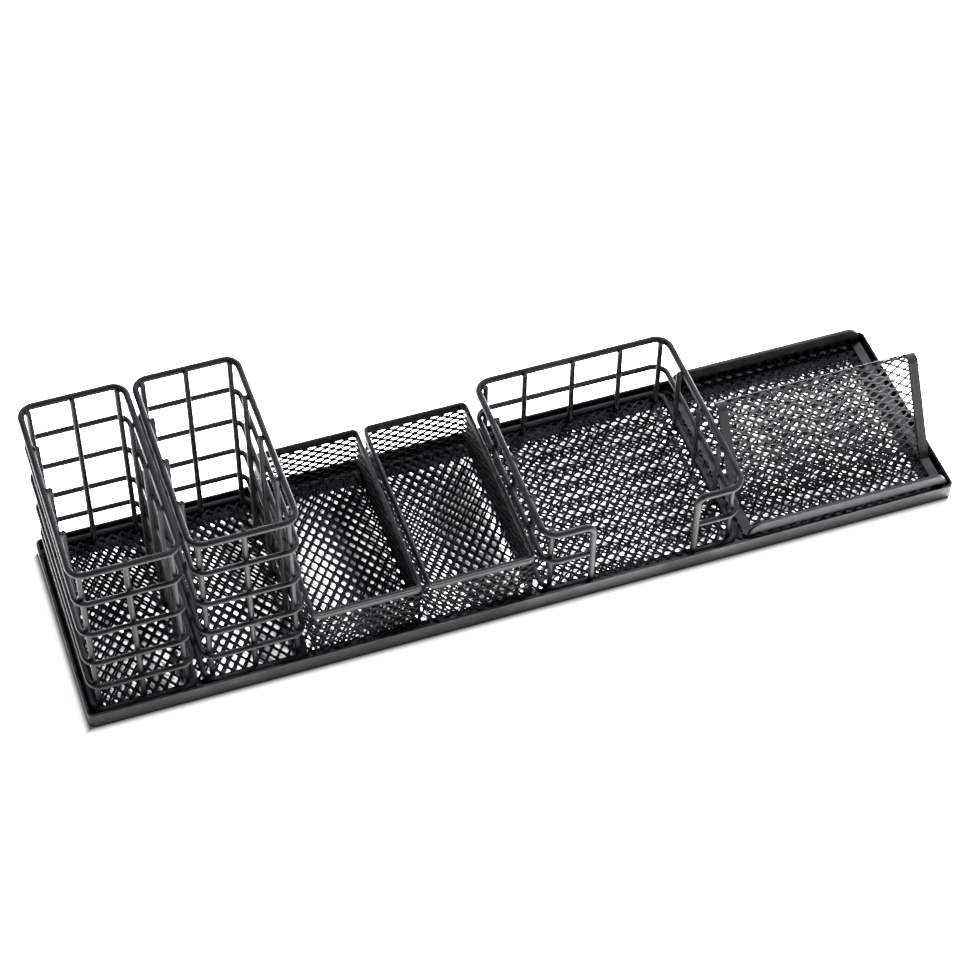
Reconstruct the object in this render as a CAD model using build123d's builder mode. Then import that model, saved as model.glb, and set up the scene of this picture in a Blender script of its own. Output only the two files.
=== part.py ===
from build123d import *
import os
from math import cos, radians, sin, sqrt

# Desk organizer in powder-coated steel: a shallow tray with six loose modules standing in it.
# Millimetres. X runs along the tray, -Y is the front, Z is up, and the origin is on the desk
# under the middle of the tray.

os.makedirs("parts", exist_ok=True)

# ---------------------------------------------------------------- driving dimensions
MESH_T = 0.6            # every expanded-metal sheet, over its strands
SHEET_T = 0.5           # folded sheet steel
EDGING_T = MESH_T + 2 * SHEET_T     # a folded edging with the mesh gripped between its leaves
WELD = 0.2              # how far a welded wire sinks into its neighbour
CLEARANCE = 0.2         # air between pieces that lie on each other
EDGE_R = 0.5            # rounding along the top of a folded edging

TRAY_LENGTH = 405.0
TRAY_DEPTH = 102.5
TRAY_HEIGHT = 8.0
TRAY_CORNER_R = 3.0
TRAY_LEAF_T = 0.3       # the tray's edging is of thinner sheet
TRAY_FLOOR_Z = 4.0      # top of the tray's mesh
MODULE_Z = TRAY_FLOOR_Z + CLEARANCE     # underside of every module

RIM_WIRE = 2.9          # wire diameters
NOTE_RIM_WIRE = 3.1
BASE_WIRE = 2.6
RING_WIRE = 2.4
UPRIGHT_WIRE = 2.5
UPRIGHT_END = 0.4       # an upright ends this far above the centre of the top wire

CUP_CENTRES_X = (-176.6, -127.2)
CUP_WIDTH = 48.2        # over the top rim
CUP_DEPTH = 98.6
CUP_CORNER_R = 6.0      # centre line of the top rim
CUP_RIM_Z = 97.6
CUP_RING_Z = (78.6, 58.2, 38.4, 21.8)

BIN_CENTRES_X = (-76.6, -24.7)
BIN_WIDTH = 49.5
BIN_DEPTH = 96.0
BIN_HEIGHT = 28.8
BIN_BAND = 4.4          # folded band round the mouth
BIN_CORNER_R = 3.0
BIN_FOLD_R = 1.4

NOTE_CENTRE_X = 50.7
NOTE_WIDTH = 96.0       # over the top rail
NOTE_DEPTH = 98.4
NOTE_CORNER_R = 7.0     # centre line of the top rail
NOTE_RIM_Z = 42.8
NOTE_MIDDLE_Z = 24.5
NOTE_BEND_R = 4.0       # where the top rail turns down to the foot
NOTE_POST_X = 24.4      # the two posts at the open front, from the middle

CARD_CENTRE_X = 150.4
CARD_WIDTH = 98.0       # over the edge strips
CARD_DEPTH = 98.0       # over the lip bands
CARD_LIP_HEIGHT = 9.0
CARD_LIP_BAND = 5.4
CARD_LIP_R = 6.5        # rounded top corners of the lips
CARD_FOLD_R = 2.2
CARD_STRIP = 4.4        # width of the flat strips along the sides
CARD_PANEL_FOOT_Y = -30.4
CARD_PANEL_LEAN = 31.0  # degrees back from upright
CARD_PANEL_FLAT = 47.5  # length of the flat part of the leaning panel
CARD_PANEL_CURL_R = 3.0
CARD_PANEL_CURL = 125.0  # degrees that the top edge is rolled back
CARD_PANEL_EDGE = 30.0  # degrees of that roll which the top edging covers


def finish(part, label):
    part.label = label
    export_step(part, f"parts/{label}.step")


# ---------------------------------------------------------------- tray
tray_edging_t = MESH_T + 2 * TRAY_LEAF_T
corner_start_x = TRAY_LENGTH / 2 - TRAY_CORNER_R
corner_start_y = TRAY_DEPTH / 2 - TRAY_CORNER_R

with BuildPart() as tray_rim:
    with BuildSketch():
        RectangleRounded(TRAY_LENGTH, TRAY_DEPTH, TRAY_CORNER_R)
        offset(amount=-tray_edging_t, mode=Mode.SUBTRACT)
    extrude(amount=TRAY_HEIGHT)
    fillet(tray_rim.edges().group_by(Axis.Z)[-1], radius=EDGE_R)
    # the gap between the two leaves, open below
    with BuildSketch():
        RectangleRounded(TRAY_LENGTH, TRAY_DEPTH, TRAY_CORNER_R)
        offset(amount=-TRAY_LEAF_T, mode=Mode.REPLACE)
        offset(amount=-MESH_T, mode=Mode.SUBTRACT)
    extrude(amount=TRAY_HEIGHT - SHEET_T, mode=Mode.SUBTRACT)
    # the inner leaf ends on top of the mesh
    with BuildSketch():
        RectangleRounded(TRAY_LENGTH, TRAY_DEPTH, TRAY_CORNER_R)
        offset(amount=-TRAY_LEAF_T, mode=Mode.REPLACE)
    extrude(amount=TRAY_FLOOR_Z, mode=Mode.SUBTRACT)
    # four straight lengths and four corner bends, end to end
    for side in (-1, 1):
        split(bisect_by=Plane.YZ.offset(side * corner_start_x), keep=Keep.BOTH)
        split(bisect_by=Plane.XZ.offset(side * corner_start_y), keep=Keep.BOTH)
finish(tray_rim.part, "tray_rim")

with BuildPart() as tray_floor_mesh:
    with BuildSketch(Plane.XY.offset(TRAY_FLOOR_Z - MESH_T)):
        RectangleRounded(TRAY_LENGTH, TRAY_DEPTH, TRAY_CORNER_R)
        offset(amount=-TRAY_LEAF_T, mode=Mode.REPLACE)
    extrude(amount=MESH_T)
finish(tray_floor_mesh.part, "tray_floor_mesh")


# ---------------------------------------------------------------- bent and straight wires
def corners(centre_x, width, depth):
    x, y = width / 2, depth / 2
    return [(centre_x - x, -y), (centre_x - x, y), (centre_x + x, y), (centre_x + x, -y)]


def wire_hoop(label, centre_x, width, depth, corner_r, z, diameter):
    """A closed hoop, sized along the centre line of its wire."""
    with BuildPart() as hoop:
        with BuildLine(Plane.XY.offset(z)) as path:
            FilletPolyline(*corners(centre_x, width, depth), radius=corner_r, close=True)
        with BuildSketch(Plane(origin=path.line @ 0, z_dir=path.line % 0)):
            Circle(diameter / 2)
        sweep(path=path.line)
    finish(hoop.part, label)


def bent_wire(label, points, radii, diameter):
    """An open wire along a polyline with rounded corners."""
    with BuildPart() as wire:
        with BuildLine() as path:
            FilletPolyline(*points, radius=radii)
        with BuildSketch(Plane(origin=path.line @ 0, z_dir=path.line % 0)):
            Circle(diameter / 2)
        sweep(path=path.line)
    finish(wire.part, label)


def uprights(label, places, bottom, top):
    """Straight upright wires, each one a solid of its own."""
    with BuildPart() as wires:
        with BuildSketch(Plane.XY.offset(bottom)):
            with Locations(*places):
                Circle(UPRIGHT_WIRE / 2)
        extrude(amount=top - bottom)
    finish(wires.part, label)


def corner_places(centre_x, width, depth, corner_r, inset):
    """Corner uprights stand inside the bend, on its 45 degree line."""
    reach = (corner_r - inset) / sqrt(2) - corner_r
    return corners(centre_x, width + 2 * reach, depth + 2 * reach)


def floor_mesh(label, centre_x, width, depth, corner_r, z):
    """A flat sheet of mesh whose edge is welded to the inside of the foot wire."""
    below_centre = z + MESH_T / 2 - (MODULE_Z + BASE_WIRE / 2)
    inset = sqrt((BASE_WIRE / 2) ** 2 - below_centre ** 2) - WELD
    with BuildPart() as sheet:
        with BuildSketch(Plane.XY.offset(z)):
            with Locations((centre_x, 0)):
                RectangleRounded(width - 2 * inset, depth - 2 * inset, corner_r - inset)
        extrude(amount=MESH_T)
    finish(sheet.part, label)


WIRE_FLOOR_Z = MODULE_Z + CLEARANCE     # underside of the mesh in the wire modules
WIRE_FOOT_Z = MODULE_Z + BASE_WIRE / 2

# ---------------------------------------------------------------- two pencil cups
# The uprights stand inside the hoops, so a thinner hoop is also a little smaller.
cup_width = CUP_WIDTH - RIM_WIRE
cup_depth = CUP_DEPTH - RIM_WIRE
ring_inset = (RIM_WIRE - RING_WIRE) / 2
base_inset = (RIM_WIRE - BASE_WIRE) / 2
upright_inset = (RIM_WIRE + UPRIGHT_WIRE) / 2 - WELD

for number, centre_x in enumerate(CUP_CENTRES_X, start=1):
    name = f"pencil_cup_{number}"
    wire_hoop(f"{name}_top_rim", centre_x, cup_width, cup_depth, CUP_CORNER_R, CUP_RIM_Z, RIM_WIRE)
    for ring, ring_z in enumerate(CUP_RING_Z, start=1):
        wire_hoop(f"{name}_ring_{ring}", centre_x, cup_width - 2 * ring_inset, cup_depth - 2 * ring_inset,
                  CUP_CORNER_R - ring_inset, ring_z, RING_WIRE)
    foot = (centre_x, cup_width - 2 * base_inset, cup_depth - 2 * base_inset, CUP_CORNER_R - base_inset)
    wire_hoop(f"{name}_base_ring", *foot, WIRE_FOOT_Z, BASE_WIRE)
    floor_mesh(f"{name}_floor_mesh", *foot, WIRE_FLOOR_Z)
    side_x = cup_width / 2 - upright_inset
    end_y = cup_depth / 2 - upright_inset
    places = corner_places(centre_x, cup_width, cup_depth, CUP_CORNER_R, upright_inset)
    places += [(centre_x, -end_y), (centre_x, end_y)]
    places += [(centre_x + side * side_x, quarter * cup_depth / 4)
               for side in (-1, 1) for quarter in (-1, 0, 1)]
    uprights(f"{name}_uprights", places, WIRE_FLOOR_Z + MESH_T, CUP_RIM_Z + UPRIGHT_END)

# ---------------------------------------------------------------- two mesh bins
bin_top = MODULE_Z + BIN_HEIGHT
wall_width = BIN_WIDTH - 2 * SHEET_T        # over the mesh wall
wall_depth = BIN_DEPTH - 2 * SHEET_T
wall_corner_r = BIN_CORNER_R - SHEET_T

for number, centre_x in enumerate(BIN_CENTRES_X, start=1):
    # an inverted U folded over the top edge of the wall
    with BuildPart() as bin_rim:
        with BuildSketch(Plane.XY.offset(bin_top - BIN_BAND)):
            with Locations((centre_x, 0)):
                RectangleRounded(BIN_WIDTH, BIN_DEPTH, BIN_CORNER_R)
            offset(amount=-EDGING_T, mode=Mode.SUBTRACT)
        extrude(amount=BIN_BAND)
        fillet(bin_rim.edges().group_by(Axis.Z)[-1], radius=EDGE_R)
        with BuildSketch(Plane.XY.offset(bin_top - BIN_BAND)):
            with Locations((centre_x, 0)):
                RectangleRounded(wall_width, wall_depth, wall_corner_r)
            offset(amount=-MESH_T, mode=Mode.SUBTRACT)
        extrude(amount=BIN_BAND - SHEET_T, mode=Mode.SUBTRACT)
    finish(bin_rim.part, f"mesh_bin_{number}_rim")

    # one strip wrapped round the four sides, with its lower edge folded in under the floor's edge
    with BuildPart() as wall_mesh:
        with BuildSketch(Plane.XY.offset(MODULE_Z)):
            with Locations((centre_x, 0)):
                RectangleRounded(wall_width, wall_depth, wall_corner_r)
        extrude(amount=BIN_HEIGHT - SHEET_T)
        fillet(wall_mesh.faces().sort_by(Axis.Z)[0].edges(), radius=BIN_FOLD_R)
        top_face = wall_mesh.faces().sort_by(Axis.Z)[-1]
        offset(amount=-MESH_T, openings=top_face)
        with BuildSketch(Plane.XY.offset(MODULE_Z)) as flat_floor:
            with Locations((centre_x, 0)):
                RectangleRounded(wall_width, wall_depth, wall_corner_r)
            offset(amount=-BIN_FOLD_R, mode=Mode.REPLACE)
        extrude(amount=MESH_T, mode=Mode.SUBTRACT)
    finish(wall_mesh.part, f"mesh_bin_{number}_wall_mesh")

    with BuildPart() as bin_floor:
        add(flat_floor.sketch)
        extrude(amount=MESH_T)
    finish(bin_floor.part, f"mesh_bin_{number}_floor_mesh")

# ---------------------------------------------------------------- note holder
note_width = NOTE_WIDTH - NOTE_RIM_WIRE
note_depth = NOTE_DEPTH - NOTE_RIM_WIRE
note_base_inset = (NOTE_RIM_WIRE - BASE_WIRE) / 2


def three_sided(width, depth, front_x, z):
    """Route round the left, back and right sides and along both front corners to the open front."""
    left, back_left, back_right, right = [(x, y, z) for x, y in corners(NOTE_CENTRE_X, width, depth)]
    front_y = left[1]
    return [(NOTE_CENTRE_X - front_x, front_y, z), left, back_left, back_right, right,
            (NOTE_CENTRE_X + front_x, front_y, z)]


top_route = three_sided(note_width, note_depth, NOTE_POST_X, NOTE_RIM_Z)
left_foot = (NOTE_CENTRE_X - NOTE_POST_X, -note_depth / 2, MODULE_Z)
right_foot = (NOTE_CENTRE_X + NOTE_POST_X, -note_depth / 2, MODULE_Z)
bent_wire("note_holder_top_rail", [left_foot, *top_route, right_foot],
          [NOTE_BEND_R] + [NOTE_CORNER_R] * 4 + [NOTE_BEND_R], NOTE_RIM_WIRE)

base_size = (note_width - 2 * note_base_inset, note_depth - 2 * note_base_inset)
base_corner_r = NOTE_CORNER_R - note_base_inset
for label, rail_z in (("middle", NOTE_MIDDLE_Z), ("base", WIRE_FOOT_Z)):
    stop_x = NOTE_POST_X + NOTE_RIM_WIRE / 2 - WELD
    rail_route = three_sided(*base_size, stop_x, rail_z)
    bent_wire(f"note_holder_{label}_rail", rail_route, [base_corner_r] * 4, BASE_WIRE)

floor_mesh("note_holder_floor_mesh", NOTE_CENTRE_X, *base_size, base_corner_r, WIRE_FLOOR_Z)

note_upright_inset = (NOTE_RIM_WIRE + UPRIGHT_WIRE) / 2 - WELD
note_side_x = note_width / 2 - note_upright_inset
note_back_y = note_depth / 2 - note_upright_inset
note_places = corner_places(NOTE_CENTRE_X, note_width, note_depth, NOTE_CORNER_R, note_upright_inset)
note_places += [(NOTE_CENTRE_X + quarter * note_width / 4, note_back_y) for quarter in (-1, 0, 1)]
note_places += [(NOTE_CENTRE_X + side * note_side_x, quarter * note_depth / 4)
                for side in (-1, 1) for quarter in (-1, 0, 1)]
uprights("note_holder_uprights", note_places, WIRE_FLOOR_Z + MESH_T, NOTE_RIM_Z + UPRIGHT_END)

# ---------------------------------------------------------------- card holder
card_mesh_width = CARD_WIDTH - 2 * SHEET_T
card_mesh_depth = CARD_DEPTH - 2 * SHEET_T
card_mesh_z = MODULE_Z + SHEET_T            # the edge strips wrap round under the mesh
card_mesh_top = card_mesh_z + MESH_T
card_strip_top = card_mesh_top + SHEET_T
lip_top = card_mesh_z + CARD_LIP_HEIGHT
left_end = Plane.YZ.offset(CARD_CENTRE_X - card_mesh_width / 2)

# one sheet bent up at the front and back into low lips with rounded ends
with BuildPart() as base_mesh:
    with BuildSketch(left_end):
        with Locations((0, lip_top)):
            RectangleRounded(card_mesh_depth, 2 * CARD_LIP_HEIGHT, CARD_FOLD_R)
        offset(amount=-MESH_T, mode=Mode.SUBTRACT)
        with Locations((0, lip_top)):
            Rectangle(card_mesh_depth, 2 * CARD_LIP_HEIGHT, align=(Align.CENTER, Align.MIN),
                      mode=Mode.SUBTRACT)
    extrude(amount=card_mesh_width)
    fillet(base_mesh.edges().filter_by(Axis.Y).group_by(Axis.Z)[-1], radius=CARD_LIP_R)
finish(base_mesh.part, "card_holder_base_mesh")

# flat strips folded over the floor's two side edges, between the folds of the lips
strip_length = card_mesh_depth - 2 * CARD_FOLD_R
for side, direction in (("left", -1), ("right", 1)):
    edge_x = CARD_CENTRE_X + direction * (CARD_WIDTH - CARD_STRIP) / 2
    with BuildPart() as edge_strip:
        with BuildSketch(Plane.XY.offset(MODULE_Z)):
            with Locations((edge_x, 0)):
                Rectangle(CARD_STRIP, strip_length)
        extrude(amount=EDGING_T)
        add(base_mesh.part, mode=Mode.SUBTRACT)
    finish(edge_strip.part, f"card_holder_{side}_edge_strip")

# bands folded over the lips, which run down at both ends to the fold of the mesh
band_top = lip_top + SHEET_T
band_drop = band_top - card_mesh_z - CARD_FOLD_R - CLEARANCE / 2
for side, direction in (("front", -1), ("back", 1)):
    band_y = direction * (CARD_DEPTH - EDGING_T) / 2
    with BuildPart() as lip_band:
        with BuildSketch(Plane.XZ.offset(-band_y)) as band_outline:
            with Locations((CARD_CENTRE_X, band_top)):
                Rectangle(CARD_WIDTH, band_drop, align=(Align.CENTER, Align.MAX))
            top_corners = band_outline.vertices().group_by(Axis.Y)[-1]
            fillet(top_corners, radius=CARD_LIP_R + SHEET_T)
            with Locations((CARD_CENTRE_X, band_top - CARD_LIP_BAND)):
                Rectangle(CARD_WIDTH - 2 * CARD_STRIP, band_drop, align=(Align.CENTER, Align.MAX),
                          mode=Mode.SUBTRACT)
        extrude(amount=EDGING_T / 2, both=True)
        add(base_mesh.part, mode=Mode.SUBTRACT)
    finish(lip_band.part, f"card_holder_{side}_lip_band")

# the leaning panel: flat, then rolled back along its top edge
lean = radians(CARD_PANEL_LEAN)
foot = (CARD_PANEL_FOOT_Y, card_mesh_z)
lean_direction = (sin(lean), cos(lean))


def panel_profile(thickness, roll_from):
    """Section of the panel over the whole height, or of the end of its roll only."""
    with BuildSketch() as profile:
        with BuildLine() as route:
            shoulder = (foot[0] + CARD_PANEL_FLAT * lean_direction[0],
                        foot[1] + CARD_PANEL_FLAT * lean_direction[1])
            if roll_from > 0:
                roll = JernArc(shoulder, lean_direction, CARD_PANEL_CURL_R, -roll_from, mode=Mode.PRIVATE)
                JernArc(roll @ 1, roll % 1, CARD_PANEL_CURL_R, roll_from - CARD_PANEL_CURL)
            else:
                Line(foot, shoulder)
                JernArc(shoulder, lean_direction, CARD_PANEL_CURL_R, -CARD_PANEL_CURL)
        trace(line_width=thickness)
    return profile.sketch


with BuildPart() as panel_mesh:
    with BuildSketch(left_end):
        add(panel_profile(MESH_T, 0))
    extrude(amount=card_mesh_width)
    split(bisect_by=Plane.XY.offset(card_mesh_top), keep=Keep.TOP)
    # notches that clear the edge strips of the floor
    with BuildSketch(Plane.XY.offset(card_mesh_top)):
        with Locations(*[(CARD_CENTRE_X + s * (CARD_WIDTH - CARD_STRIP) / 2, 0) for s in (-1, 1)]):
            Rectangle(CARD_STRIP, CARD_DEPTH)
    extrude(amount=SHEET_T, mode=Mode.SUBTRACT)
finish(panel_mesh.part, "card_holder_panel_mesh")

with BuildPart() as panel_frame:
    for direction in (-1, 1):
        start_x = CARD_CENTRE_X + direction * CARD_WIDTH / 2
        with BuildSketch(Plane.YZ.offset(start_x)):
            add(panel_profile(EDGING_T, 0))
        extrude(amount=-direction * CARD_STRIP)
    with BuildSketch(Plane.YZ.offset(CARD_CENTRE_X - CARD_WIDTH / 2)):
        add(panel_profile(EDGING_T, CARD_PANEL_CURL - CARD_PANEL_EDGE))
    extrude(amount=CARD_WIDTH)
    split(bisect_by=Plane.XY.offset(card_strip_top), keep=Keep.TOP)
    add(panel_mesh.part, mode=Mode.SUBTRACT)
finish(panel_frame.part, "card_holder_panel_frame")
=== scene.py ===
from math import cos, pi, radians, sin, sqrt, tau

import bmesh
import bpy
from mathutils import Matrix, Vector


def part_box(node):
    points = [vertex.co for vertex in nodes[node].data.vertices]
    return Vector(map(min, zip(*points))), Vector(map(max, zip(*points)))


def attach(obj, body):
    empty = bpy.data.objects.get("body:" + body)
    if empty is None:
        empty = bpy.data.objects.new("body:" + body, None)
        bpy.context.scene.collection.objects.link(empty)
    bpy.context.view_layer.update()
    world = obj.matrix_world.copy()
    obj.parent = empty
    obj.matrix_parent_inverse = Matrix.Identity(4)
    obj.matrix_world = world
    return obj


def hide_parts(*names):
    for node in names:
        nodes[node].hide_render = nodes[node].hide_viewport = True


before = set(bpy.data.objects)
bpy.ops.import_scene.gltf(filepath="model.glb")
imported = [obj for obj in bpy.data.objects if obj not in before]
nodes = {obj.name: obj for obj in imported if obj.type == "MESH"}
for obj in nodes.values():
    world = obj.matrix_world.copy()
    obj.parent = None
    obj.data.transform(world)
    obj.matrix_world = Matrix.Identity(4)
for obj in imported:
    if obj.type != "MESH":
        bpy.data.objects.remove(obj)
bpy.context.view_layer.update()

# ------------------------------------------------------------------ tray rim
# A strip of thin steel folded over the edge of the tray's mesh, rounded at the four corners.
# It is powder-coated satin black after folding, like every other piece of the organizer.

CLOUD_SCALE = 95
CLOUD_LOW = 0.32
CLOUD_HIGH = 0.70
GLOSS_SCALE = 420
GLOSS_LOW = 0.3
GLOSS_HIGH = 0.7
SKIN_SCALE = 1500
SKIN_STRENGTH = 0.3
SKIN_DEPTH = 0.00006


def powder_coat(name, dark, light, smooth, rough, sheen):
    """Satin black powder coat: a faint cloudiness, a fine orange-peel skin and uneven gloss."""
    coat = bpy.data.materials.new(name)
    coat.use_nodes = True
    tree = coat.node_tree
    shader = tree.nodes["Principled BSDF"]
    place = tree.nodes.new("ShaderNodeTexCoord").outputs["Object"]

    def noise(scale, detail):
        node = tree.nodes.new("ShaderNodeTexNoise")
        node.inputs["Scale"].default_value = scale
        node.inputs["Detail"].default_value = detail
        tree.links.new(place, node.inputs["Vector"])
        return node.outputs["Fac"]

    cloud = tree.nodes.new("ShaderNodeValToRGB")
    cloud.color_ramp.elements[0].position = CLOUD_LOW
    cloud.color_ramp.elements[0].color = (*dark, 1)
    cloud.color_ramp.elements[1].position = CLOUD_HIGH
    cloud.color_ramp.elements[1].color = (*light, 1)
    tree.links.new(noise(CLOUD_SCALE, 5), cloud.inputs["Fac"])
    tree.links.new(cloud.outputs["Color"], shader.inputs["Base Color"])

    gloss = tree.nodes.new("ShaderNodeMapRange")
    gloss.inputs["From Min"].default_value = GLOSS_LOW
    gloss.inputs["From Max"].default_value = GLOSS_HIGH
    gloss.inputs["To Min"].default_value = smooth
    gloss.inputs["To Max"].default_value = rough
    tree.links.new(noise(GLOSS_SCALE, 3), gloss.inputs["Value"])
    tree.links.new(gloss.outputs["Result"], shader.inputs["Roughness"])

    skin = tree.nodes.new("ShaderNodeBump")
    skin.inputs["Strength"].default_value = SKIN_STRENGTH
    skin.inputs["Distance"].default_value = SKIN_DEPTH
    tree.links.new(noise(SKIN_SCALE, 2), skin.inputs["Height"])
    tree.links.new(skin.outputs["Normal"], shader.inputs["Normal"])
    shader.inputs["Specular IOR Level"].default_value = sheen
    return coat


def coat_node(name, finish):
    """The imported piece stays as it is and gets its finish."""
    for slot in nodes[name].material_slots:
        slot.material = finish


SHEET_COAT = powder_coat("sheet_coat", (0.005, 0.005, 0.0065), (0.010, 0.010, 0.0125), 0.40, 0.54, 0.42)
coat_node("tray_rim", SHEET_COAT)

# ------------------------------------------------------------------ tray floor
# Expanded steel: a sheet slit and pulled open into diamonds whose strands lie slightly tilted.
# Its cut edge is gripped in the rim, and the long way of the diamonds runs from front to back.

MESH_COAT = powder_coat("mesh_coat", (0.0016, 0.0016, 0.0022), (0.004, 0.004, 0.0052), 0.45, 0.60, 0.13)

FLOOR_LONG_WAY = 0.0067
FLOOR_SHORT_WAY = 0.0050
FLOOR_STRAND = 0.0009
FLOOR_BOND = 0.0007
MESH_GAUGE = 0.0003
STRAND_TILT = 0.00024       # how far a strand's edge lies above or below its middle


def diamond_sheet(size_x, size_y, long_way, short_way, strand, bond, along, shift=(0, 0), turn=0):
    """Tilted strands of expanded steel round the origin, a little larger than the size asked for.

    The bond is how far each crossing reaches along the strands that leave it. The long way of the
    diamonds lies along "x" or "y". The shift is in diamonds, and the turn in degrees.
    """
    spare = 4
    step_x, step_y = (short_way, long_way) if along == "y" else (long_way, short_way)
    across = size_x / step_x + spare
    down = size_y / step_y + spare
    count = int(across + down) + 2
    sheet = bmesh.new()
    bmesh.ops.create_grid(sheet, x_segments=count, y_segments=count, size=count / 2)
    bmesh.ops.rotate(sheet, verts=sheet.verts, matrix=Matrix.Rotation(radians(45), 3, "Z"))
    bmesh.ops.scale(sheet, verts=sheet.verts, vec=(sqrt(0.5), sqrt(0.5), 1))
    outside = []
    for face in sheet.faces:
        middle = face.calc_center_median()
        if abs(middle.x) > across / 2 or abs(middle.y) > down / 2:
            outside.append(face)
    bmesh.ops.delete(sheet, geom=outside, context="FACES")
    bmesh.ops.scale(sheet, verts=sheet.verts, vec=(step_x, step_y, 1))
    bmesh.ops.translate(sheet, verts=sheet.verts, vec=(shift[0] * step_x, shift[1] * step_y, 0))
    bmesh.ops.bevel(sheet, geom=sheet.verts, affect="VERTICES", offset=bond, segments=1,
                    profile=0.5, material=-1)
    # the small faces are the bonds, the large ones the diamonds
    openings = [face for face in sheet.faces if face.calc_area() > 0.3 * step_x * step_y]
    bmesh.ops.inset_individual(sheet, faces=openings, thickness=strand / 2, use_even_offset=True)
    short_axis = 0 if along == "y" else 1
    half_short = short_way / 2 - strand / 2
    for face in openings:
        middle = face.calc_center_median()[short_axis]
        for vert in face.verts:
            vert.co.z -= STRAND_TILT * (vert.co[short_axis] - middle) / half_short
    bmesh.ops.delete(sheet, geom=openings, context="FACES_ONLY")
    bmesh.ops.rotate(sheet, verts=sheet.verts, matrix=Matrix.Rotation(radians(turn), 3, "Z"))
    return sheet


def trim(sheet, half_x, half_y, corner_r):
    """Shears the sheet to a rectangle with rounded corners."""
    sides = 16
    for side in range(sides):
        angle = tau * side / sides
        outward = Vector((cos(angle), sin(angle), 0))
        reach = (half_x - corner_r) * abs(outward.x) + (half_y - corner_r) * abs(outward.y) + corner_r
        everything = [*sheet.verts, *sheet.edges, *sheet.faces]
        bmesh.ops.bisect_plane(sheet, geom=everything, plane_co=outward * reach, plane_no=outward,
                               clear_outer=True, dist=1e-7)


def thicken(sheet, gauge):
    """Gives the flat strands their thickness, half to each side."""
    bmesh.ops.translate(sheet, verts=sheet.verts, vec=(0, 0, -gauge / 2))
    grown = bmesh.ops.extrude_face_region(sheet, geom=sheet.faces, use_keep_orig=True)
    raised = [item for item in grown["geom"] if isinstance(item, bmesh.types.BMVert)]
    bmesh.ops.translate(sheet, verts=raised, vec=(0, 0, gauge))
    bmesh.ops.recalc_face_normals(sheet, faces=sheet.faces)


def hand_over(built, name, finish, slot, body, *replaced):
    """Turns the modelled shape into a named piece that rides on its body."""
    mesh = bpy.data.meshes.new(name)
    built.to_mesh(mesh)
    built.free()
    mesh.materials.append(finish)
    piece = bpy.data.objects.new(name, mesh)
    bpy.context.scene.collection.objects.link(piece)
    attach(piece, body)
    if replaced:
        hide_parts(*replaced)


def flat_mesh(node, body, corner_r, along="y", shift=(0, 0), turn=0, scale=1):
    """A flat floor of expanded steel in the place of a packed sheet."""
    low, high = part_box(node)
    middle = (low + high) / 2
    half = (high - low) / 2
    sheet = diamond_sheet(2 * half.x, 2 * half.y, FLOOR_LONG_WAY * scale, FLOOR_SHORT_WAY * scale,
                          FLOOR_STRAND * scale, FLOOR_BOND * scale, along, shift, turn)
    trim(sheet, half.x, half.y, corner_r)
    thicken(sheet, MESH_GAUGE)
    bmesh.ops.translate(sheet, verts=sheet.verts, vec=middle)
    hand_over(sheet, f"{node}_expanded", MESH_COAT, "black_mesh", body, node)


TRAY_CORNER_R = 0.003
TRAY_LEAF = 0.0003
flat_mesh("tray_floor_mesh", "tray", TRAY_CORNER_R - TRAY_LEAF)

# ------------------------------------------------------------------ tray ledge of painted shade
# A flat, narrow, thin black frame under the mesh, all round the tray and mitred at the corners, in the
# same coat as the rim: painted shade, a dark sheet standing in for the shade on the ground under the mesh.


def swept_band(section, half_x, half_y, corner_r, base):
    """Sweeps a closed section of (offset outwards, height) points round a rounded rectangle.

    The base is the height of its lower edge. Where an inward offset is larger than the corner
    radius, the corner there is mitred.
    """
    ring = bmesh.new()
    arc_steps = 6
    stations = []
    quarters = ((1, 1), (-1, 1), (-1, -1), (1, -1))
    for quarter, (side_x, side_y) in enumerate(quarters):
        for step in range(arc_steps + 1):
            angle = (quarter + step / arc_steps) * pi / 2
            outward = Vector((cos(angle), sin(angle), 0))
            station = []
            for offset, height in section:
                bend = max(corner_r + offset, 0)
                inset = bend - offset
                corner = Vector((side_x * (half_x - inset), side_y * (half_y - inset), base + height))
                station.append(ring.verts.new(corner + outward * bend))
            stations.append(station)
    for here, there in zip(stations, stations[1:] + stations[:1]):
        for edge in range(len(section)):
            following = (edge + 1) % len(section)
            ring.faces.new((here[edge], there[edge], there[following], here[following])).smooth = True
    bmesh.ops.remove_doubles(ring, verts=ring.verts, dist=1e-7)
    bmesh.ops.recalc_face_normals(ring, faces=ring.faces)
    return ring


# painted shade: a dark frame reaching this far in from the rim, where the ground under the mesh lies in
# shade
SHADE_LEDGE_REACH = 0.0075
SHADE_LEDGE_GAUGE = 0.0003
SHADE_LEDGE_Z = 0.0029
SHADE_LEDGE_SECTION = ((-TRAY_LEAF, 0.0), (-TRAY_LEAF, SHADE_LEDGE_GAUGE),
                 (-SHADE_LEDGE_REACH, SHADE_LEDGE_GAUGE), (-SHADE_LEDGE_REACH, 0.0))
rim_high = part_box("tray_rim")[1]
painted_shade_ledge = swept_band(SHADE_LEDGE_SECTION, rim_high.x, rim_high.y, TRAY_CORNER_R, SHADE_LEDGE_Z)
for face in painted_shade_ledge.faces:
    face.smooth = False
hand_over(painted_shade_ledge, "tray_painted_shade_ledge", SHEET_COAT, "black_sheet", "tray")

# ------------------------------------------------------------------ pencil cups
# Two tall baskets of round wire: six hoops round twelve uprights, the top hoop thickest, with a
# small bead of weld at every crossing. A small sheet of expanded steel is welded inside the foot
# hoop, never quite square to the tray's own mesh. The cups stand loose in the tray.

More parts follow.
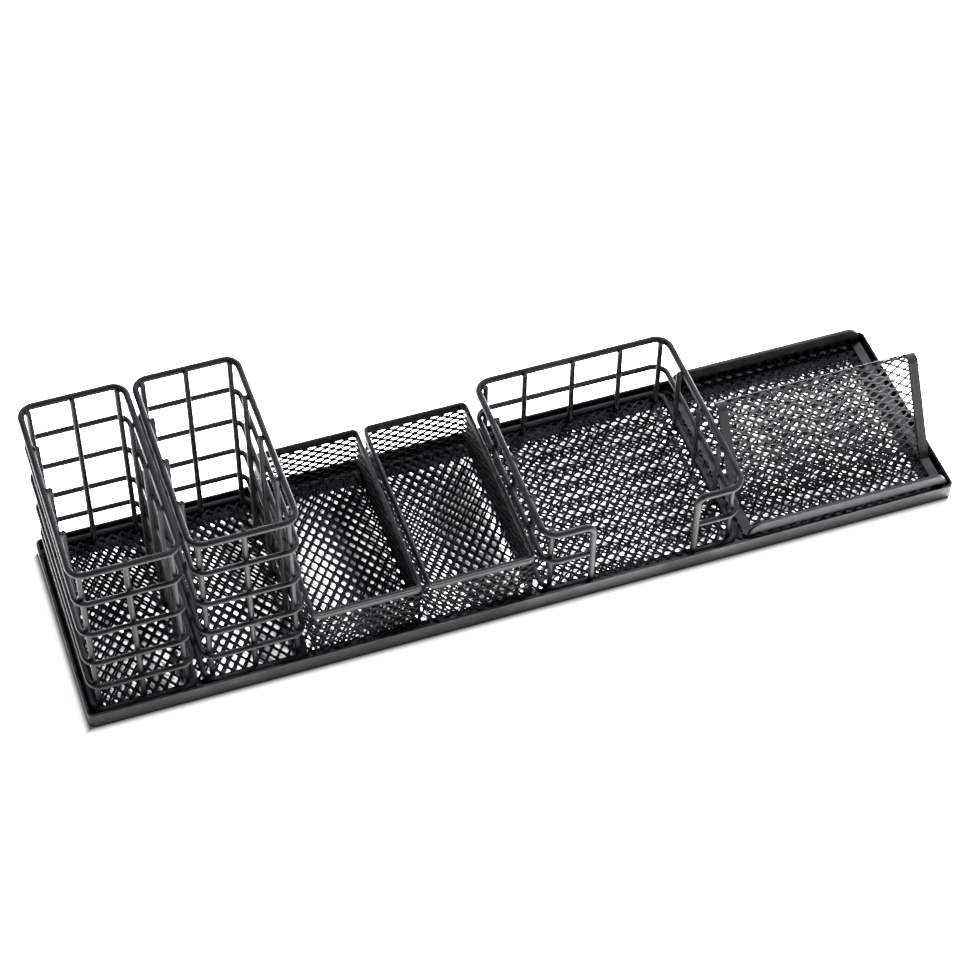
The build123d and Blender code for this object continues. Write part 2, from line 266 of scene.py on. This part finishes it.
WIRE_COAT = powder_coat("wire_coat", (0.003, 0.003, 0.004), (0.006, 0.006, 0.0078), 0.36, 0.48, 0.38)
UPRIGHT_R = 0.00125
WELD_REACH = 0.0014
WELD_DEPTH = 0.0009
CUP_WELD_Z = (0.0976, 0.0786, 0.0582, 0.0384, 0.0218, 0.0056)
CORNER_SHARE = 0.9          # beyond this share of a half side, an upright stands at the edge
CUP_FLOOR_CORNER_R = 0.005
CUP_MESH_SHIFT = (0.3, 0.1)
CUP_MESH_TURN = 1.2
CUP_MESH_SCALE = 0.965


def weld_beads(uprights, body, heights):
    """Small blobs of weld where each upright touches the outer wires, at the heights given.

    The places come from the uprights themselves: each one is a separate patch of its node's mesh.
    """
    shape = bmesh.new()
    shape.from_mesh(nodes[uprights].data)
    box_low, box_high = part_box(uprights)
    centre = (box_low + box_high) / 2
    half = (box_high - box_low) / 2
    middles = []
    left = set(shape.verts)
    while left:
        patch = [left.pop()]
        for vert in patch:
            linked = [edge.other_vert(vert) for edge in vert.link_edges]
            patch += [other for other in linked if other in left]
            left -= set(linked)
        spots = [nodes[uprights].matrix_world @ vert.co for vert in patch]
        middles.append(sum(spots, Vector()) / len(spots))
    shape.free()
    beads = bmesh.new()
    for middle in middles:
        across = (middle - centre).x / (half.x - UPRIGHT_R)
        along = (middle - centre).y / (half.y - UPRIGHT_R)
        # an upright near both a side and an end stands in a corner, where the weld is on the diagonal
        side = abs(across) > CORNER_SHARE
        end = abs(along) > CORNER_SHARE
        outward = Vector((side * across, end * along, 0)).normalized()
        for height in heights:
            spot = Vector((middle.x, middle.y, height)) + outward * UPRIGHT_R
            squash = Matrix.Diagonal((WELD_DEPTH, WELD_REACH, WELD_REACH, 1))
            turned = outward.to_track_quat("X", "Z").to_matrix().to_4x4()
            bmesh.ops.create_uvsphere(beads, u_segments=8, v_segments=5, radius=1,
                                      matrix=Matrix.Translation(spot) @ turned @ squash)
    for face in beads.faces:
        face.smooth = True
    hand_over(beads, f"{uprights}_welds", WIRE_COAT, "black_wire", body)


for cup in ("pencil_cup_1", "pencil_cup_2"):
    for wire in ("top_rim", "ring_1", "ring_2", "ring_3", "ring_4", "base_ring", "uprights"):
        coat_node(f"{cup}_{wire}", WIRE_COAT)
    flat_mesh(f"{cup}_floor_mesh", cup, CUP_FLOOR_CORNER_R, shift=CUP_MESH_SHIFT, turn=CUP_MESH_TURN,
              scale=CUP_MESH_SCALE)
    weld_beads(f"{cup}_uprights", cup, CUP_WELD_Z)

# ------------------------------------------------------------------ mesh bins
# Two low boxes: a strip of finer expanded steel wrapped round the sides and joined at the back, a
# flat floor of the coarse mesh, and a band folded round the mouth that grips the strip's upper
# edge and is creased below the bead along its top.

WALL_LONG_WAY = 0.0064
WALL_SHORT_WAY = 0.0038
WALL_STRAND = 0.0008
WALL_BOND = 0.0009
WALL_FOLD_R = 0.0014
WALL_CORNER_R = 0.0023
FOLD_TAIL = 0.0006
BAND_CORNER_R = 0.003
BIN_MESH_SHIFT = (0.2, 0.35)
BIN_MESH_TURN = -1.5
BIN_MESH_SCALE = 0.96
# section of the band, from its outer lower edge round over the bead: offset outwards, height
BAND_SECTION = ((-0.00012, 0.0), (0.0, 0.00015), (0.0, 0.0025), (-0.0001, 0.0027), (-0.00045, 0.00285),
                (-0.00012, 0.0031), (0.0, 0.00345), (-0.00008, 0.0038), (-0.00032, 0.00418),
                (-0.0008, 0.0044), (-0.00128, 0.00418), (-0.00152, 0.0038), (-0.0016, 0.00345),
                (-0.00148, 0.0031), (-0.00135, 0.00285), (-0.0015, 0.0027), (-0.0016, 0.0025),
                (-0.0016, 0.00015), (-0.00148, 0.0))


def fold(sheet, crease, radius, angle):
    """Bends everything past the crease, along +Y, upwards round a roller. The sheet lies at z = 0."""
    for vert in sheet.verts:
        past = vert.co.y - crease
        if past > 0:
            turn = min(past / radius, angle) if angle > 0 else max(-past / radius, angle)
            side = 1 if angle > 0 else -1
            rest = past - radius * abs(turn)
            arm = radius - side * vert.co.z
            vert.co.y = crease + arm * sin(abs(turn)) + rest * cos(turn)
            vert.co.z = side * (radius - arm * cos(turn)) + rest * sin(turn)


def wrap(sheet, half_x, half_y, corner_r):
    """Wraps an upright strip round a rounded rectangle, from the middle of the front both ways.

    The strip runs along X with its outer face at +Y, and its two ends meet at the back.
    """
    straight_x = half_x - corner_r
    straight_y = half_y - corner_r
    quarter = corner_r * pi / 2
    for vert in sheet.verts:
        run = vert.co.x
        facing = pi
        spot = Vector((0.0, -half_y))
        lengths = (straight_x, quarter, 2 * straight_y, quarter, 2 * straight_x, quarter,
                   2 * straight_y, quarter, straight_x)
        left = run % (4 * straight_x + 4 * straight_y + 4 * quarter)
        for number, length in enumerate(lengths):
            part = min(left, length)
            heading = Vector((cos(facing), sin(facing)))
            if number % 2:
                turn = part / corner_r
                inward = Vector((heading.y, -heading.x))
                centre = spot + inward * corner_r
                facing -= turn
                heading = Vector((cos(facing), sin(facing)))
                spot = centre - Vector((heading.y, -heading.x)) * corner_r
            else:
                spot = spot + heading * part
            left -= part
            if left <= 0:
                break
        outward = Vector((-heading.y, heading.x))
        spot = spot + outward * vert.co.y
        vert.co.x = spot.x
        vert.co.y = spot.y


for bin_name in ("mesh_bin_1", "mesh_bin_2"):
    low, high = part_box(f"{bin_name}_rim")
    middle = (low + high) / 2
    band = swept_band(BAND_SECTION, (high.x - low.x) / 2, (high.y - low.y) / 2, BAND_CORNER_R, low.z)
    bmesh.ops.translate(band, verts=band.verts, vec=(middle.x, middle.y, 0))
    hand_over(band, f"{bin_name}_rim_folded", SHEET_COAT, "black_sheet", bin_name, f"{bin_name}_rim")
    flat_mesh(f"{bin_name}_floor_mesh", bin_name, WALL_FOLD_R, shift=BIN_MESH_SHIFT, turn=BIN_MESH_TURN,
              scale=BIN_MESH_SCALE)
    low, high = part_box(f"{bin_name}_wall_mesh")
    middle = (low + high) / 2
    half_x = (high.x - low.x) / 2 - MESH_GAUGE / 2
    half_y = (high.y - low.y) / 2 - MESH_GAUGE / 2
    height = high.z - low.z - MESH_GAUGE / 2
    around = 4 * (half_x + half_y - 2 * WALL_CORNER_R) + tau * WALL_CORNER_R
    repeats = round(around / WALL_LONG_WAY)
    tail = WALL_FOLD_R * pi / 2 + FOLD_TAIL
    flat_height = height - WALL_FOLD_R + tail
    strip = diamond_sheet(around, flat_height, around / repeats, WALL_SHORT_WAY, WALL_STRAND, WALL_BOND, "x")
    trim(strip, around / 2, flat_height / 2, 0)
    thicken(strip, MESH_GAUGE)
    # the two ends of the strip meet at the back, so their cut faces go
    ends = [face for face in strip.faces
            if all(abs(abs(vert.co.x) - around / 2) < 1e-6 for vert in face.verts)]
    bmesh.ops.delete(strip, geom=ends, context="FACES")
    # the fold along the lower edge is rolled first, with the strip's outer face up
    bmesh.ops.translate(strip, verts=strip.verts, vec=(0, flat_height / 2 - tail, 0))
    bmesh.ops.rotate(strip, verts=strip.verts, matrix=Matrix.Rotation(pi, 3, "Z"))
    fold(strip, 0, WALL_FOLD_R, -pi / 2)
    bmesh.ops.rotate(strip, verts=strip.verts, matrix=Matrix.Rotation(-pi / 2, 3, "X"))
    bmesh.ops.translate(strip, verts=strip.verts, vec=(0, 0, WALL_FOLD_R))
    wrap(strip, half_x, half_y, WALL_CORNER_R)
    bmesh.ops.remove_doubles(strip, verts=strip.verts, dist=1e-6)
    bmesh.ops.translate(strip, verts=strip.verts, vec=(middle.x, middle.y, low.z + MESH_GAUGE / 2))
    hand_over(strip, f"{bin_name}_wall_expanded", MESH_COAT, "black_mesh", bin_name,
              f"{bin_name}_wall_mesh")

# ------------------------------------------------------------------ note holder
# A wire fence on three sides for a block of notes: the thick top rail turns down into the two
# posts at the open front, with two thinner rails below. The rails are welded to the uprights, and
# a floor of finer mesh, its diamonds lying crosswise, is welded inside the foot rail.

for wire in ("top_rail", "middle_rail", "base_rail", "uprights"):
    coat_node(f"note_holder_{wire}", WIRE_COAT)
NOTE_WELD_Z = (0.0428, 0.0245, 0.0056)
NOTE_FLOOR_CORNER_R = 0.006
NOTE_MESH_SCALE = 0.8
flat_mesh("note_holder_floor_mesh", "note_holder", NOTE_FLOOR_CORNER_R, along="x", scale=NOTE_MESH_SCALE)
weld_beads("note_holder_uprights", "note_holder", NOTE_WELD_Z)

# ------------------------------------------------------------------ card holder
# One sheet of mesh turned up at the front and back into low lips, bound along its edges with
# folded strips, and a second sheet that leans back between them and is rolled over at the top.

for strip_name in ("left_edge_strip", "right_edge_strip", "front_lip_band", "back_lip_band", "panel_frame"):
    coat_node(f"card_holder_{strip_name}", SHEET_COAT)

# painted light: the leaning panel gets a lighter copy of the black mesh coat, for the light its front face
# catches
PANEL_PAINTED_LIGHT_COAT = powder_coat("panel_coat_painted_light", (0.009, 0.009, 0.011), (0.017, 0.017, 0.020), 0.36, 0.50, 0.6)
BASE_LONG_WAY = 0.0054
BASE_SHORT_WAY = 0.0040
BASE_STRAND = 0.00072
BASE_BOND = 0.00055
CARD_FOLD_R = 0.0022
LIP_CORNER_R = 0.0065
PANEL_LONG_WAY = 0.0065
PANEL_SHORT_WAY = 0.0041
PANEL_FOOT_Y = -0.0304
PANEL_LEAN = radians(31)
PANEL_STRAND = 0.0009
PANEL_BOND = 0.0006
PANEL_FLAT = 0.0475
PANEL_ROLL_R = 0.003
PANEL_ROLL = radians(125)

low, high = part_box("card_holder_base_mesh")
middle = (low + high) / 2
half_x = (high.x - low.x) / 2
half_y = (high.y - low.y) / 2 - MESH_GAUGE
lip = high.z - low.z - MESH_GAUGE
half_flat = half_y - CARD_FOLD_R
half_blank = half_flat + CARD_FOLD_R * pi / 2 + lip - CARD_FOLD_R
blank = diamond_sheet(2 * half_x, 2 * half_blank, BASE_LONG_WAY, BASE_SHORT_WAY, BASE_STRAND,
                      BASE_BOND, "x")
trim(blank, half_x, half_blank, LIP_CORNER_R)
thicken(blank, MESH_GAUGE)
for turn in range(2):
    fold(blank, half_flat, CARD_FOLD_R, pi / 2)
    bmesh.ops.rotate(blank, verts=blank.verts, matrix=Matrix.Rotation(pi, 3, "Z"))
bmesh.ops.translate(blank, verts=blank.verts, vec=(middle.x, middle.y, low.z + MESH_GAUGE))
hand_over(blank, "card_holder_base_expanded", MESH_COAT, "black_mesh", "card_holder",
          "card_holder_base_mesh")

panel_low, panel_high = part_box("card_holder_panel_mesh")
foot = Vector((middle.x, PANEL_FOOT_Y, low.z))
half_x = (panel_high.x - panel_low.x) / 2
length = PANEL_FLAT + PANEL_ROLL_R * PANEL_ROLL
panel = diamond_sheet(2 * half_x, length, PANEL_LONG_WAY, PANEL_SHORT_WAY, PANEL_STRAND, PANEL_BOND, "x")
trim(panel, half_x, length / 2, 0)
thicken(panel, MESH_GAUGE)
bmesh.ops.translate(panel, verts=panel.verts, vec=(0, length / 2, 0))
fold(panel, PANEL_FLAT, PANEL_ROLL_R, -PANEL_ROLL)
bmesh.ops.rotate(panel, verts=panel.verts, matrix=Matrix.Rotation(pi / 2 - PANEL_LEAN, 3, "X"))
bmesh.ops.translate(panel, verts=panel.verts, vec=foot)
bmesh.ops.bisect_plane(panel, geom=[*panel.verts, *panel.edges, *panel.faces], dist=1e-7,
                       plane_co=(0, 0, panel_low.z), plane_no=(0, 0, -1), clear_outer=True)
hand_over(panel, "card_holder_panel_expanded", PANEL_PAINTED_LIGHT_COAT, "black_mesh", "card_holder",
          "card_holder_panel_mesh")

# ------------------------------------------------------------------ table top, light and camera
# A white table whose paper glows as painted light beyond the tray's outline, and three soft lights:
# the main one from the back right, which lights the surfaces, and two that only show in the gloss of the
# coat, from the back right and the front.

TABLE_HALF = 4
TABLE_DROP = 0.00005
scene = bpy.context.scene
table = bmesh.new()
bmesh.ops.create_grid(table, x_segments=1, y_segments=1, size=TABLE_HALF)
bmesh.ops.translate(table, verts=table.verts, vec=(0, 0, -TABLE_DROP))
table_mesh = bpy.data.meshes.new("table_top")
table.to_mesh(table_mesh)
table.free()
table_top = bpy.data.objects.new("table_top", table_mesh)
scene.collection.objects.link(table_top)
paper = bpy.data.materials.new("white_paper")
paper.use_nodes = True
paper.node_tree.nodes["Principled BSDF"].inputs["Base Color"].default_value = (0.9, 0.9, 0.9, 1)
paper.node_tree.nodes["Principled BSDF"].inputs["Roughness"].default_value = 0.9
paper.node_tree.nodes["Principled BSDF"].inputs["Specular IOR Level"].default_value = 0.1
table_mesh.materials.append(paper)

# beyond the tray's outline the paper gives off light, which keeps the shadow beside the tray faint
TRAY_HALF = (0.2025, 0.0513)
GLOW_EDGE = 0.0025
GLOW = 0.92
paper_tree = paper.node_tree
paper_place = paper_tree.nodes.new("ShaderNodeTexCoord").outputs["Object"]
paper_axes = paper_tree.nodes.new("ShaderNodeSeparateXYZ")
paper_tree.links.new(paper_place, paper_axes.inputs["Vector"])


def paper_math(operation, first, second):
    """A math node between two values, each of them a socket or a number."""
    node = paper_tree.nodes.new("ShaderNodeMath")
    node.operation = operation
    for socket, value in zip(node.inputs, (first, second)):
        if isinstance(value, float):
            socket.default_value = value
        else:
            paper_tree.links.new(value, socket)
    return node.outputs["Value"]


beyond = [paper_math("SUBTRACT", paper_math("ABSOLUTE", paper_axes.outputs[axis], 0.0), half)
          for axis, half in zip(("X", "Y"), TRAY_HALF)]
glow = paper_tree.nodes.new("ShaderNodeMapRange")
glow.inputs["From Min"].default_value = 0.0
glow.inputs["From Max"].default_value = GLOW_EDGE
glow.inputs["To Min"].default_value = 0.0
glow.inputs["To Max"].default_value = GLOW
paper_tree.links.new(paper_math("MAXIMUM", *beyond), glow.inputs["Value"])
paper_tree.links.new(glow.outputs["Result"], paper_tree.nodes["Principled BSDF"].inputs["Emission Strength"])
paper_tree.nodes["Principled BSDF"].inputs["Emission Color"].default_value = (1, 1, 1, 1)

world = bpy.data.worlds.new("studio")
scene.world = world
world.use_nodes = True
world.node_tree.nodes["Background"].inputs["Color"].default_value = (1, 1, 1, 1)
world.node_tree.nodes["Background"].inputs["Strength"].default_value = 0.12
scene.view_settings.view_transform = "Standard"


def softbox(name, azimuth, elevation, distance, size, power, lights_surfaces, shows_in_gloss):
    """A square soft light that looks at the middle of the organizer."""
    lamp = bpy.data.lights.new(name, "AREA")
    lamp.size = size
    lamp.energy = power
    light = bpy.data.objects.new(name, lamp)
    scene.collection.objects.link(light)
    turn, rise = radians(azimuth), radians(elevation)
    towards = Vector((sin(turn) * cos(rise), cos(turn) * cos(rise), sin(rise)))
    light.location = towards * distance
    light.rotation_euler = towards.to_track_quat("Z", "Y").to_euler()
    light.visible_diffuse = lights_surfaces
    light.visible_glossy = shows_in_gloss


softbox("key_light", azimuth=48, elevation=50, distance=1.6, size=0.3, power=230,
        lights_surfaces=True, shows_in_gloss=False)
softbox("gloss_light", azimuth=30, elevation=50, distance=1.6, size=1.0, power=5,
        lights_surfaces=False, shows_in_gloss=True)
softbox("front_light", azimuth=162, elevation=16, distance=1.8, size=1.1, power=3.0,
        lights_surfaces=False, shows_in_gloss=True)

lens = bpy.data.cameras.new("camera")
lens.lens = 98.8
lens.sensor_width = 36
camera = bpy.data.objects.new("camera", lens)
scene.collection.objects.link(camera)
camera.location = (-0.2633, -0.7125, 0.9255)
camera.rotation_euler = (radians(40.305), radians(-0.497), radians(-19.018))
scene.camera = camera
